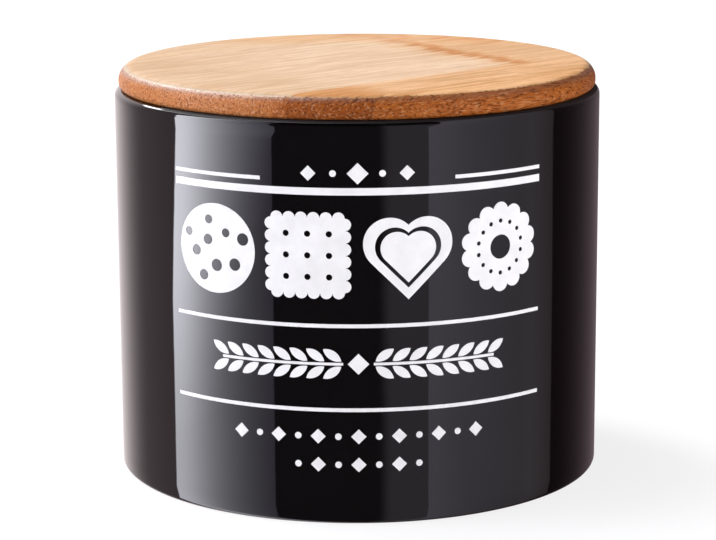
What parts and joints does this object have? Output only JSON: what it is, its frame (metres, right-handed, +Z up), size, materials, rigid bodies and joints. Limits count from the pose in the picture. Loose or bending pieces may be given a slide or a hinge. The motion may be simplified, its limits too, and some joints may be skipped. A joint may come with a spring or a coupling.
{
  "type": "biscuit jar",
  "caption": "Round straight-sided biscuit jar of black glazed stoneware with a printed front and a push-in wooden lid with a silicone seal.",
  "frame": {"origin": "centre of the jar's axis in the plane that its foot ring stands on", "axes": "+Z up along the jar's axis, towards the lid; -Y is the printed front; +X is to the right seen from the front"},
  "size_m": [0.17, 0.1702, 0.1425],
  "materials": {
    "black_glaze": "gloss black glaze over stoneware, bare clay on the foot ring",
    "wide_board_wood": "pale planed and oiled acacia, darker end grain",
    "narrow_board_wood": "orange-brown planed and oiled acacia",
    "edge_board_wood": "light orange planed and oiled acacia",
    "plug_wood": "turned and oiled acacia",
    "seal_silicone": "translucent milky silicone, matt",
    "white_enamel": "fired-on white enamel print, satin"
  },
  "bodies": {
    "jar": {"jar_body": "black_glaze", "print_rules": "white_enamel", "print_biscuits": "white_enamel", "print_sprig": "white_enamel", "print_dots": "white_enamel"},
    "seal": {"seal_ring": "seal_silicone"},
    "lid": {"lid_board_wide": "wide_board_wood", "lid_board_narrow": "narrow_board_wood", "lid_board_edge": "edge_board_wood", "lid_plug": "plug_wood"}
  },
  "joints": [
    {"name": "lid_lift", "type": "slide", "parent": "jar", "child": "seal", "axis": [0, 0, 1], "range_m": [0, 0.1]},
    {"name": "lid_turn", "type": "hinge", "parent": "seal", "child": "lid", "pos_m": [0, 0, 0.1345], "axis": [0, 0, 1], "continuous": true}
  ]
}
